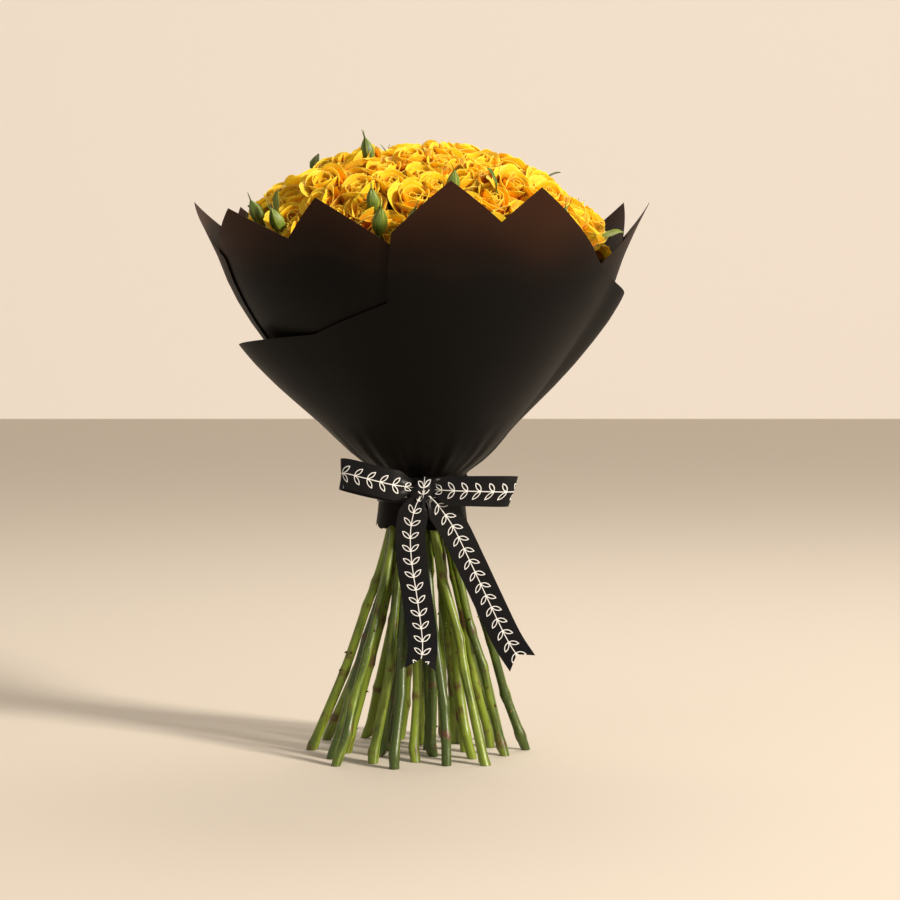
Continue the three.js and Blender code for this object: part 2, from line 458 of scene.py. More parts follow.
@dataclass(frozen=True)
class PetalFinish:
    """Golden petals: orange towards the bases and inner petals, partly their own deeper gold and partly
    painted shade in the bloom's depths, bright yellow at the rims, with faint veins.
    """

    deep_gold_and_shade: Colour = (0.94, 0.220, 0.001)
    body: Colour = (1.00, 0.430, 0.002)
    rim: Colour = (1.00, 0.580, 0.010)
    pale: Colour = (1.00, 0.700, 0.050)

    def make(self) -> bpy.types.Material:
        """Build the material."""
        shader = Shader("petal", Roughness=0.55, Subsurface_Weight=0.45, Subsurface_Scale=0.008)
        shader.body.inputs["Subsurface Radius"].default_value = (1.0, 0.45, 0.08)
        shader.body.inputs["Specular IOR Level"].default_value = 0.3
        shader.body.inputs["Sheen Weight"].default_value = 0.1
        across, along = shader.uv("Along")
        ring, chance = shader.uv("Tone")
        mottle = shader.noise(90.0, 3.0)
        veins = shader.noise(1.0, 2.0, shader.vector(across * 26.0, along * 2.2, chance * 40.0))
        # Painted shade, in part: the orange towards the petal bases and the inner petals is partly the
        # rose's own deeper gold and partly shade in the bloom's depths.
        lit = (along + ring * 0.25 + (mottle - 0.5) * 0.35).ramp(0.25, 0.85)
        colour = shader.mix(lit, self.deep_gold_and_shade, self.body)
        tip = (along + (veins - 0.5) * 0.30 + (chance - 0.5) * 0.25).ramp(0.62, 1.0)
        colour = shader.mix(tip, colour, self.rim)
        edge = (along + (across - 0.5).absolute() * 0.25).ramp(0.96, 1.10)
        colour = shader.mix(edge, colour, self.pale)
        shader.feed("Base Color", colour)
        shader.bump(veins + mottle * 0.5, 0.18, 0.0004)
        return shader.material


@dataclass(frozen=True)
class GreenFinish:
    """Fresh green of sepals, buds and leaves, paler where the light catches the ribs."""

    name: str = "leaf_green"
    dark: Colour = (0.035, 0.080, 0.010)
    light: Colour = (0.185, 0.270, 0.030)
    tip: Colour = (0.330, 0.370, 0.045)

    def make(self) -> bpy.types.Material:
        """Build the material."""
        shader = Shader(self.name, Roughness=0.48, Subsurface_Weight=0.08, Subsurface_Scale=0.002)
        across, along = shader.uv("Along")
        _, chance = shader.uv("Tone")
        rib = 1.0 - ((across - 0.5).absolute() * 2.0).ramp(0.0, 0.35)
        mottle = shader.noise(220.0, 3.0)
        colour = shader.mix((mottle * 0.7 + chance * 0.5).ramp(0.3, 0.9), self.dark, self.light)
        colour = shader.mix(rib * 0.6, colour, self.tip)
        shader.feed("Base Color", colour)
        shader.bump(mottle + rib, 0.3, 0.0004)
        return shader.material


@dataclass(frozen=True)
class StemFinish:
    """Rose bark: yellow-green with long streaks, darker knuckles and brown scars."""

    dark: Colour = (0.042, 0.072, 0.007)
    light: Colour = (0.200, 0.275, 0.018)
    scar: Colour = (0.095, 0.030, 0.012)
    dry: Colour = (0.300, 0.270, 0.110)

    def make(self) -> bpy.types.Material:
        """Build the material."""
        shader = Shader("stem_bark", Roughness=0.34)
        around, along = shader.uv("Along")
        knuckle, chance = shader.uv("Tone")
        where = shader.vector(around.sine() * 2.0 + chance * 31.0, along * 0.02, chance * 17.0)
        streak = shader.noise(1.4, 3.0, where)
        colour = shader.mix((streak + (chance - 0.5) * 0.5).ramp(0.32, 0.68), self.dark, self.light)
        blotch = shader.noise(75.0, 4.0)
        streaky = shader.noise(1.6, 3.0, shader.vector(around.sine() * 1.5, along * 0.035, chance * 53.0))
        worn = (blotch * 0.5 + streaky * 0.5 + knuckle * 0.16 + (chance - 0.5) * 0.10).ramp(0.56, 0.70)
        colour = shader.mix(worn * 0.85, colour, self.scar)
        speck = shader.noise(420.0, 2.0)
        colour = shader.mix(speck.ramp(0.62, 0.75) * 0.45, colour, self.dry)
        shader.feed("Base Color", colour)
        shader.feed("Roughness", 0.26 + speck * 0.25)
        shader.bump(streak * 0.3 + blotch + speck * 0.4, 0.4, 0.0005)
        return shader.material


@dataclass(frozen=True)
class CutFinish:
    """The pale wood of a freshly cut end."""

    def make(self) -> bpy.types.Material:
        """Build the material."""
        shader = Shader("stem_cut", Roughness=0.7)
        grain = shader.noise(600.0, 2.0)
        shader.feed("Base Color", shader.mix(grain, (0.35, 0.40, 0.16), (0.62, 0.62, 0.36)))
        shader.bump(grain, 0.4, 0.0003)
        return shader.material


@dataclass(frozen=True)
class PaperFinish:
    """Waxed black paper, with a painted brown glow towards its tips that stands in for light shining
    through where it lies single.
    """

    black: Colour = (0.0030, 0.0024, 0.0021)
    brown: Colour = (0.032, 0.0120, 0.0058)

    def make(self) -> bpy.types.Material:
        """Build the material."""
        shader = Shader("wrapping_paper", Roughness=0.46)
        shader.body.inputs["Specular IOR Level"].default_value = 0.07
        across, along = shader.uv("Along")
        cloud = shader.noise(9.0, 2.0)
        # Painted glow: the paper turns brown towards its tips, standing in for light shining through the
        # single sheet.
        tip = (along + (cloud - 0.5) * 0.25).ramp(0.72, 1.0)
        shader.feed("Base Color", shader.mix(tip, self.black, self.brown))
        fibre = shader.noise(900.0, 2.0)
        ripple = shader.noise(28.0, 2.0)
        shader.feed("Roughness", 0.40 + fibre * 0.08 + cloud * 0.08)
        shader.bump(ripple * 1.0 + fibre * 0.04, 0.25, 0.0012)
        return shader.material


@dataclass(frozen=True)
class RibbonFinish:
    """Black satin ribbon, printed on one face with a white leafy vine.

    The texture layer holds millimetres along the ribbon and across it from its middle.
    """

    name: str = "ribbon_print"
    printed: bool = True
    pitch: float = 10.8
    leaf_half_length: float = 4.1
    leaf_half_width: float = 1.5
    line: float = 0.36
    lean: float = 50.0

    def make(self) -> bpy.types.Material:
        """Build the material."""
        shader = Shader(self.name, Roughness=0.38)
        shader.body.inputs["Specular IOR Level"].default_value = 0.16
        along, across = shader.uv("Along")
        weave = (along * 9.0).sine() * (across * 14.0).sine()
        black = shader.mix(shader.noise(60.0), (0.004, 0.004, 0.005), (0.007, 0.007, 0.008))
        if self.printed:
            ink = self._vine(along, across)
            shader.feed("Base Color", shader.mix(ink, black, (0.80, 0.80, 0.79)))
            shader.feed("Roughness", 0.34 + ink * 0.2 + weave * 0.03)
        else:
            shader.feed("Base Color", black)
            shader.feed("Roughness", 0.36 + weave * 0.03)
        shader.bump(weave, 0.12, 0.0001)
        return shader.material

    def _vine(self, along: Signal, across: Signal) -> Signal:
        """One where the white print lies: a centre line and outlined leaves in pairs."""
        lean = math.radians(self.lean)
        middle = self.leaf_half_length + 0.4
        out = across.absolute() - middle * math.sin(lean)
        forward = (along / self.pitch).fraction() * self.pitch - (middle * math.cos(lean) + 1.5)
        a = forward * math.cos(lean) + out * math.sin(lean)
        b = (out * math.cos(lean) - forward * math.sin(lean)).absolute()
        length, width = self.leaf_half_length, self.leaf_half_width
        arc = (length**2 + width**2) / (2.0 * width)
        edge = ((a * a + (b + (arc - width)) * (b + (arc - width))).root() - arc).absolute()
        leaf = 1.0 - edge.ramp(self.line * 0.7, self.line * 1.15)
        stalk = 1.0 - across.absolute().ramp(self.line * 0.75, self.line * 1.2)
        return leaf.greatest(stalk)


# ---- roses ----


class BloomKind(Enum):
    """How far a rose has opened."""

    GLOBE = "globe"
    CUP = "cup"
    OPEN = "open"


@dataclass(frozen=True)
class BloomShape:
    """The sizes that set one kind of bloom, in millimetres on a bloom about 40 mm wide."""

    petals: int
    last: float
    inner_length: float
    outer_length: float
    inner_width: float
    outer_width: float
    ruffle: float
    cup: float


BLOOM_SHAPES = {
    BloomKind.GLOBE: BloomShape(16, 0.64, 15.0, 30.0, 11.0, 23.0, 0.4, 0.0),
    BloomKind.CUP: BloomShape(19, 0.86, 14.0, 28.0, 10.0, 20.0, 0.8, 10.0),
    BloomKind.OPEN: BloomShape(21, 1.00, 13.0, 26.0, 9.0, 18.0, 1.2, 24.0),
}


@dataclass
class Bloom:
    """One rose: petals spiralling out from a tight heart."""

    kind: BloomKind
    seed: int
    rows: int = 8
    columns: int = 9
    thickness: float = 0.4

    def petal(self, order: float, rng: np.random.Generator) -> tuple[Array, Array]:
        """One petal's surface, leaning out from the +Z axis along +X.

        Args:
            order: 0 for the innermost petal and 1 for the outermost of a full bloom.
            rng: The source of small differences.

        Returns:
            The grid of points and their texture places.
        """
        shape = BLOOM_SHAPES[self.kind]
        u = np.linspace(-1.0, 1.0, self.columns)[None, :]
        v = np.linspace(0.0, 1.0, self.rows)[:, None]
        length = np.interp(order, [0, 1], [shape.inner_length, shape.outer_length])
        length = length * rng.uniform(0.9, 1.08)
        half = np.interp(order, [0, 1], [shape.inner_width, shape.outer_width])
        half = half * rng.uniform(0.9, 1.1)
        base = math.radians(np.interp(order, [0, 0.4, 1], [12, 66, 96]))
        waist = np.interp(order, [0, 0.4, 1], [2, 8, 26 + shape.cup]) + rng.uniform(-5, 5)
        waist = math.radians(waist)
        tip = np.interp(order, [0, 0.4, 1], [-42, -8, 70 + shape.cup]) + rng.uniform(-14, 14)
        tip = math.radians(tip)
        fine = np.linspace(0.0, 1.0, 60)
        lean = base + (waist - base) * smooth(fine, 0.0, 0.5) + (tip - waist) * smooth(fine, 0.55, 1.05)
        out = np.cumsum(np.sin(lean)) * length / 60 + np.interp(order, [0, 1], [0.6, 1.8])
        up = np.cumsum(np.cos(lean)) * length / 60 - order * 3.0
        corner = v - (0.12 + 0.10 * order) * (v**2) * np.abs(u) ** (2.6 - 0.8 * order)
        notch = 0.03 * v**4 * np.exp(-((u / 0.16) ** 2)) * rng.uniform(0.0, 1.4)
        where = np.clip(corner - notch, 0.0, 1.0)
        radius = np.interp(where, fine, out)
        height = np.interp(where, fine, up)
        slope = np.interp(where, fine, lean)
        width = half * (0.28 + 0.72 * np.sin(np.clip(v / 0.66, 0, 1) * math.pi / 2))
        width = width * (1.0 - 0.42 * smooth(v, 0.68, 1.06) ** 1.5)
        bend = np.maximum(radius * (1.0 + 0.28 * order) + 1.2 + 5.0 * order, 2.4)
        turn = np.clip(u * width / bend, -2.3, 2.3)
        phase = rng.uniform(0.0, 6.28, 3)
        wave = np.sin(u * rng.uniform(3.0, 4.6) + phase[0]) * 0.8
        wave = wave + np.sin(u * 7.0 + phase[1] + v * 2.0) * 0.28
        frill = np.sin(u * 12.0 + phase[2]) * 0.10 * smooth(v, 0.7, 1.0)
        edge = smooth(v, 0.35, 1.0) * (0.45 + 0.55 * np.abs(u))
        push = shape.ruffle * (0.5 + 0.7 * order) * edge * (wave + frill)
        push = push + 2.4 * order * (np.abs(u) ** 2.2) * smooth(v, 0.4, 1.0)
        x = radius - bend + bend * np.cos(turn) + push * np.cos(slope)
        y = bend * np.sin(turn)
        z = height - push * np.sin(slope)
        uv = wall_uv(u, v, x.shape)
        return np.stack([x, y, z], axis=-1), uv

    def build(self, material: bpy.types.Material) -> bpy.types.Mesh:
        """Make the bloom's mesh, its foot at the origin and its face along +Z.

        Args:
            material: The petals' material.

        Returns:
            The mesh, in metres.
        """
        rng = np.random.default_rng(self.seed)
        shape = BLOOM_SHAPES[self.kind]
        shell = Shell()
        for number in range(shape.petals):
            order = ((number + 0.5) / shape.petals) ** 0.85 * shape.last
            grid, uv = self.petal(order, rng)
            angle = number * GOLDEN_ANGLE + rng.uniform(-0.25, 0.25)
            spin = np.array(Matrix.Rotation(angle, 3, "Z"))
            tilt = np.array(Matrix.Rotation(math.radians(rng.uniform(-5, 5)), 3, "Y"))
            shell.wall(grid @ (spin @ tilt).T, uv, self.thickness, (order, rng.uniform()))
        piece = shell.build(f"bloom_{self.kind.value}_{self.seed}", [material], 60.0)
        mesh = piece.data
        bpy.data.objects.remove(piece)
        return mesh


@dataclass
class Sprig:
    """Green parts made once: sepals and stalk below a bloom, a closed bud and a leaf."""

    stalk: float = 24.0

    def calyx(self, seed: int) -> Shell:
        """Five sepals, the hip and the stalk below a bloom, its top at the origin."""
        rng = np.random.default_rng(seed)
        shell = Shell()
        foot = [rng.uniform(-4, 4), rng.uniform(-4, 4), -self.stalk]
        path = smooth_path([foot, [0, 0, -10], [0, 0, 0]], 7)
        shell.tube(path, np.array([1.3, 1.3, 1.3, 1.5, 2.9, 3.3, 2.2]), 8, (0.0, rng.uniform()))
        for number in range(5):
            self._sepal(shell, number * 1.2566, 14.0, 2.6, (80.0, 120.0), 2.2, rng)
        return shell

    def _sepal(
        self,
        shell: Shell,
        angle: float,
        length: float,
        half: float,
        leans: tuple[float, float],
        start: float,
        rng: np.random.Generator,
        belly: float = 0.0,
    ) -> None:
        """Add one pointed sepal that leans from the first angle to the second."""
        v = np.linspace(0.0, 1.0, 9)[:, None]
        u = np.linspace(-1.0, 1.0, 5)[None, :]
        lean = np.radians(leans[0] + (leans[1] - leans[0]) * v)
        out = start + np.cumsum(np.sin(lean), axis=0) * length / 9 + belly * np.sin(v * math.pi)
        up = np.cumsum(np.cos(lean), axis=0) * length / 9
        width = half * np.sin(np.clip(v * 0.9 + 0.18, 0, 1) * math.pi) ** 0.8 + 0.18
        bend = np.maximum(out, 1.6) * 1.05
        x = out - bend + bend * np.cos(u * width / bend) + rng.uniform(-0.3, 0.3) * v
        y = bend * np.sin(u * width / bend) + rng.uniform(-1.4, 1.4) * v**2
        z = np.broadcast_to(up, x.shape)
        grid = np.stack([x, y, z], axis=-1) @ turned(angle)
        shell.wall(grid, wall_uv(u, v, x.shape), 0.5, (1.0, rng.uniform()))

    def bud(self, seed: int) -> Shell:
        """A closed bud on its stalk, the bud's foot at the origin: slot 1 is the petal core."""
        rng = np.random.default_rng(seed)
        shell = Shell()
        foot = [rng.uniform(-6, 6), rng.uniform(-6, 6), -34]
        path = smooth_path([foot, [1, 1, -16], [0, 0, 0]], 8)
        shell.tube(path, np.array([1.4, 1.3, 1.2, 1.2, 1.3, 2.4, 3.2, 2.6]), 8, (0.0, rng.uniform()))
        for number in range(5):
            self._clasp(shell, number * 1.2566 + rng.uniform(-0.08, 0.08), rng)
        for number in range(2):
            self._whisker(shell, number * 2.5 + seed, rng)
        core = np.linspace(0.0, 1.0, 9)
        column = np.column_stack([np.zeros(9), np.zeros(9), core * 16.5])
        before = len(shell.slots)
        plump = 4.3 * np.sin(np.clip(core * 0.9 + 0.1, 0, 1) * math.pi) ** 0.8 + 0.1
        shell.tube(column, plump, 10, (0.4, 0.5))
        shell.slots[before] = np.ones_like(shell.slots[before])
        return shell

    def _clasp(self, shell: Shell, angle: float, rng: np.random.Generator) -> None:
        """Add one of the sepals that close over a bud and meet at its point."""
        v = np.linspace(0.0, 1.0, 12)[:, None]
        u = np.linspace(-1.0, 1.0, 7)[None, :]
        out = 0.35 + 4.9 * np.sin(math.pi * (0.12 + 0.88 * v)) ** 0.95
        lift = 0.35 * (1.0 - np.abs(u)) * np.sin(v * math.pi)
        turn = u * (0.74 - 0.22 * smooth(v, 0.55, 1.0))
        x = (out + lift) * np.cos(turn)
        y = (out + lift) * np.sin(turn) + rng.uniform(-0.6, 0.6) * v**3
        z = v * 21.0 + 0.8 * (1.0 - u**2) * v
        grid = np.stack([x, y, np.broadcast_to(z, x.shape)], axis=-1) @ turned(angle)
        shell.wall(grid, wall_uv(u, v, x.shape), 0.4, (1.0, rng.uniform()))

    def _whisker(self, shell: Shell, angle: float, rng: np.random.Generator) -> None:
        """Add the thin drawn-out point of a sepal, curling away from the bud's tip."""
        away = np.array([math.cos(angle), math.sin(angle), 0.0])
        end = away * rng.uniform(2, 5) + [0, 0, 28]
        points = [away * 0.6 + [0, 0, 17], away + [0, 0, 22], end]
        shell.tube(smooth_path(points, 6), np.linspace(0.9, 0.15, 6), 5, (1.0, rng.uniform()))

    def leaf(self, seed: int) -> Shell:
        """A small pointed leaflet, its foot at the origin, lying along +X."""
        rng = np.random.default_rng(seed)
        v = np.linspace(0.0, 1.0, 15)[:, None]
        u = np.linspace(-1.0, 1.0, 9)[None, :]
        length = rng.uniform(17, 23)
        half = length * 0.25 * np.sin(np.clip(v * 0.97 + 0.03, 0, 1) * math.pi) ** 0.75 + 0.1
        half = half * (1 + 0.05 * np.sin(v * 60))
        x = v * length + 0 * u
        y = u * half
        z = 0.25 * np.abs(u) * half + 3.0 * np.sin(v * 2.4) + 0.5 * np.sin(v * 9 + seed) * np.abs(u)
        uv = wall_uv(u, v, x.shape)
        shell = Shell()
        shell.wall(np.stack([x, y, z], axis=-1), uv, 0.35, (1.0, rng.uniform()))
        path = smooth_path([[-14, 0, -3], [-6, 0, -1], [1, 0, 0]], 5)
        shell.tube(path, np.full(5, 0.7), 6, (0.0, 0.5))
        return shell


def move_shell(shell: Shell, matrix: Matrix, into: Shell) -> None:
    """Copy one shell's bodies into another, moved by a matrix in millimetres."""
    turn = np.array(matrix.to_3x3())
    shift = np.array(matrix.translation)
    for points, uv, tone, faces, slots, start in zip(
        shell.points, shell.uvs, shell.tones, shell.faces, shell.slots,
        np.concatenate([[0], np.cumsum([len(p) for p in shell.points])]),
    ):
        into.add(points @ turn.T + shift, uv, tone, faces - start, slots)


@dataclass
class Dome:
    """The roses: blooms packed on a dome, with buds and leaves between them."""

    axis: Vector
    blooms: int = 112
    radius: float = 194.0
    centre: float = 306.0
    widest: float = 50.0
    tuck: float = 7.0
    globe_sunk: float = 4.0
    bud_sunk: float = 14.0
    leaf_rise: float = 48.0
    variants: int = 4
    buds: tuple[tuple[float, float, float], ...] = (
        (21.5, 236, 218), (46, 207, 216), (48, 221, 212), (43, 255, 216), (50, 258, 216), (49, 268, 218),
        (36.5, 282, 216), (42, 120, 208), (33, 60, 208), (44, 20, 208), (47, 95, 210), (38, 140, 210),
        (48, 165, 208), (24, 20, 206), (17, 120, 206), (46, 321, 209),
    )
    leaves: tuple[tuple[float, float, float], ...] = (
        (37, 299, 208), (44, 216, 205), (43, 200, 203), (34, 100, 205), (48, 62, 200), (50, 150, 200),
        (30, 10, 204), (50, 345, 200), (53, 285, 198), (26, 175, 204),
    )

    def direction(self, lean: float, turn: float) -> Vector:
        """The way out from the dome's middle, by degrees from upright and round."""
        a, b = math.radians(lean), math.radians(turn)
        return Vector((math.sin(a) * math.cos(b), math.sin(a) * math.sin(b), math.cos(a)))

    def seat(self, outward: Vector, reach: float, spin: float, nod: Vector, scale: float) -> Matrix:
        """Where something that faces outward sits on the dome, in millimetres."""
        middle = Vector((self.axis.x / MM, self.axis.y / MM, self.centre))
        facing = (outward + nod).normalized()
        turn = facing.to_track_quat("Z", "Y").to_matrix().to_4x4() @ Matrix.Rotation(spin, 4, "Z")
        return Matrix.Translation(middle + outward * reach) @ turn @ Matrix.Scale(scale, 4)

    def nearest_spray(self, place: Vector) -> str:
        """The spray that a bloom belongs to."""
        def distance(node: str) -> float:
            low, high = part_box(node)
            return ((Vector(low) + Vector(high)) / 2 - place).length
        return min((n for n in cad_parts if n.startswith("rose_spray")), key=distance)

    def build(self, petal: bpy.types.Material, green: bpy.types.Material, core: bpy.types.Material) -> None:
        """Make every bloom, bud and leaf.

        Args:
            petal: The petals' material.
            green: The material of the sepals, stalks and leaves.
            core: The material of what shows inside a bud.
        """
        rng = np.random.default_rng(11)
        meshes = {
            kind: [Bloom(kind, 10 * place + i).build(petal) for i in range(self.variants)]
            for place, kind in enumerate(BloomKind)
        }
        kinds = [BloomKind.CUP, BloomKind.OPEN, BloomKind.CUP, BloomKind.GLOBE, BloomKind.OPEN]
        greens: dict[str, Shell] = {}
        sprig = Sprig()
        self._bloom_all(meshes, kinds, sprig, greens, rng)
        self._place_buds(sprig, greens, rng)
        self._place_leaves(sprig, greens, rng)
        for spray, shell in greens.items():
            name = spray.replace("rose_spray", "spray_greens")
            finish_piece(shell.build(name, [green, core]), "stem")

    def _bloom_all(
        self,
        meshes: dict[BloomKind, list[bpy.types.Mesh]],
        kinds: Sequence[BloomKind],
        sprig: Sprig,
        greens: dict[str, Shell],
        rng: np.random.Generator,
    ) -> None:
        """Set every bloom on the dome, with its calyx and stalk below it.

        Args:
            meshes: The finished blooms to copy, by kind.
            kinds: The kinds to choose from, as often as each is wanted.
            sprig: Makes the green parts.
            greens: The green shell of each spray, which this adds to.
            rng: The source of small differences.
        """
        flat = 1.0 - math.cos(math.radians(self.widest))
        for number in range(self.blooms):
            cosine = 1.0 - (number + 0.5) / self.blooms * flat
            lean = math.degrees(math.acos(cosine)) + rng.uniform(-0.8, 0.8)
            turn = math.degrees(number * GOLDEN_ANGLE) + rng.uniform(-2.5, 2.5)
            outward = self.direction(lean, turn)
            kind = kinds[int(rng.integers(len(kinds)))]
            tuck = self.tuck * float(smooth(lean, self.widest - 10.0, self.widest))
            scale = rng.uniform(0.98, 1.24)
            sunk = self.globe_sunk if kind is BloomKind.GLOBE else 0.0
            reach = self.radius - tuck + rng.uniform(-5.0, 3.0) - sunk
            nod = Vector(rng.normal(0, 0.16, 3))
            seat = self.seat(outward, reach, rng.uniform(0, 6.28), nod, scale)
            mesh = meshes[kind][int(rng.integers(self.variants))].copy()
            metres = Matrix.Scale(MM, 4) @ seat @ Matrix.Scale(1.0 / MM, 4)
            mesh.transform(metres)
            piece = bpy.data.objects.new(f"rose_bloom_{number + 1:03d}", mesh)
            bpy.context.scene.collection.objects.link(piece)
            spray = self.nearest_spray(metres.translation)
            finish_piece(piece, "petal", spray)
            move_shell(sprig.calyx(number), seat, greens.setdefault(spray, Shell()))

    def _place_buds(self, sprig: Sprig, greens: dict[str, Shell], rng: np.random.Generator) -> None:
        """Add the closed buds, each nodding upwards."""
        for number, (lean, turn, reach) in enumerate(self.buds):
            outward = self.direction(lean, turn)
            nod = Vector((0, 0, 0.55)) + Vector(rng.normal(0, 0.12, 3))
            reach -= self.bud_sunk
            seat = self.seat(outward, reach, rng.uniform(0, 6.28), nod, rng.uniform(0.9, 1.1))
            spray = self.nearest_spray(seat.translation * MM)
            move_shell(sprig.bud(number), seat, greens[spray])

    def _place_leaves(self, sprig: Sprig, greens: dict[str, Shell], rng: np.random.Generator) -> None:
        """Add the leaflets, each standing up from the dome."""
        upright = Matrix.Rotation(-math.radians(self.leaf_rise), 4, "Y")
        for number, (lean, turn, reach) in enumerate(self.leaves):
            outward = self.direction(lean, turn)
            seat = self.seat(outward, reach, 0.0, Vector((0, 0, 0.2)), 1.0)
            spray = self.nearest_spray(seat.translation * MM)
            spin = Matrix.Rotation(rng.uniform(0, 6.28), 4, "Z")
            move_shell(sprig.leaf(number), seat @ spin @ upright, greens[spray])


# ---- stems ----


@dataclass
class Stems:
    """The cut stems, crossing at the tie in a spiral."""

    axis: Vector
    count: int = 28
    pitch: float = 5.1
    thin: float = 6.4
    tie: float = 225.0
    flare_below: float = 64.0
    flare_above: float = 42.0
    twist: float = 0.4
    lean: float = 7.0
    knees: tuple[float, ...] = (18.0, 62.0, 108.0, 152.0, 190.0)
    knee_reach: float = 4.2
    bend: float = 2.4
    rings: int = 110
    sides: int = 12

    def middle(self, number: int, height: Array) -> Array:
        """The middle line of a stem at the given heights."""
        flare = np.where(height < self.tie, self.flare_below, self.flare_above)
        share = (height - self.tie) / flare
        radius = self.pitch * math.sqrt(number + 0.5) * np.hypot(1.0, share)
        angle = number * GOLDEN_ANGLE - self.twist * np.arctan(share)
        drop = np.maximum(0.0, (self.tie - height) / self.tie)
        x = self.axis.x / MM + radius * np.cos(angle) - self.lean * drop**2
        y = self.axis.y / MM + radius * np.sin(angle)
        return np.column_stack([x, y, height])

    def build(self, bark: bpy.types.Material, cut: bpy.types.Material) -> None:
        """Make the stems.

        Args:
            bark: The material of the sides.
            cut: The material of the cut ends.
        """
        for number in range(self.count):
            name = f"rose_stem_{number + 1:02d}"
            rng = np.random.default_rng(500 + number)
            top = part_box(name)[1][2] / MM
            height = np.linspace(0.0, top, self.rings)
            path = self.middle(number, height)
            knees = self._kink(path, height, rng)
            radii, tone = self._girth(number, height, knees, rng)
            shell = Shell()
            shell.tube(path, radii, self.sides, tone, 1)
            self._thorns(shell, path, radii, rng)
            flat = shell.points[0]
            flat[: self.sides, 2] = 0.0
            finish_piece(shell.build(name.replace("rose_stem", "stem"), [bark, cut]), "stem", name)

    def _kink(self, path: Array, height: Array, rng: np.random.Generator) -> Array:
        """Bend a stem a little to each side at its knees.

        Args:
            path: The stem's middle line, which this moves.
            height: The height of each of its points.
            rng: The source of small differences.

        Returns:
            The heights of the knees.
        """
        knees = np.array(self.knees) + rng.uniform(-16.0, 16.0, len(self.knees))
        marks = np.concatenate([[0.0], knees, [self.tie, height[-1]]])
        for axis in (0, 1):
            aside = rng.uniform(-self.bend, self.bend, len(knees))
            path[:, axis] += np.interp(height, marks, np.concatenate([[0.0], aside, [0.0, 0.0]]))
        return knees

    def _girth(
        self, number: int, height: Array, knees: Array, rng: np.random.Generator
    ) -> tuple[Array, Array]:
        """How thick a stem is along its height, and how scarred.

        Args:
            number: Which stem it is.
            height: The heights of its points.
            knees: The heights of its knees, where it swells.
            rng: The source of small differences.

        Returns:
            The radius at each point and its two material numbers.
        """
        slim = self.thin + (number * 0.618) % 1.0
        taper = np.interp(height, [0, 120, self.tie, height[-1]], [1.26, 1.12, 1.0, 0.8])
        radii = slim / 2 * taper
        scarred = np.zeros(self.rings)
        for knee in knees:
            ring = np.exp(-(((height - knee) / self.knee_reach) ** 2))
            radii = radii * (1.0 + rng.uniform(0.10, 0.26) * ring)
            scarred = np.maximum(scarred, ring * rng.uniform(0.35, 1.0))
        return radii, np.column_stack([scarred, np.full(self.rings, rng.uniform())])

    def _thorns(self, shell: Shell, path: Array, radii: Array, rng: np.random.Generator) -> None:
        """Add the scars of leaves and a few blunt thorns below the paper."""
        for _ in range(int(rng.integers(2, 5))):
            ring = int(rng.integers(4, 34))
            angle = rng.uniform(0, 6.28)
            out = np.array([math.cos(angle), math.sin(angle), 0.0])
            foot = path[ring] + out * radii[ring] * 0.8
            size = rng.uniform(1.6, 3.2)
            tip = [foot, foot + out * size * 0.6 + [0, 0, 0.5], foot + out * size + [0, 0, -0.4]]
            shell.tube(smooth_path(tip, 5), np.linspace(1.5, 0.25, 5), 6, (1.0, rng.uniform()))


# ---- paper ----


@dataclass(frozen=True)
class Corner:
    """A loose corner that stands off the bunch."""

    at: float
    reach: float
    out: float
    top: float


@dataclass(frozen=True)
class Sheet:
    """One sheet of wrapping paper.

    The edge runs from left to right as pairs of degrees round the bunch and height.
    """

    name: str
    edge: tuple[tuple[float, float], ...]
    layers: tuple[float, float]  # how far it lies off the profile, at its left and right
    corner: Corner | None = None
    foot: tuple[float, float] | None = None  # the degrees that it reaches at the tie, if others


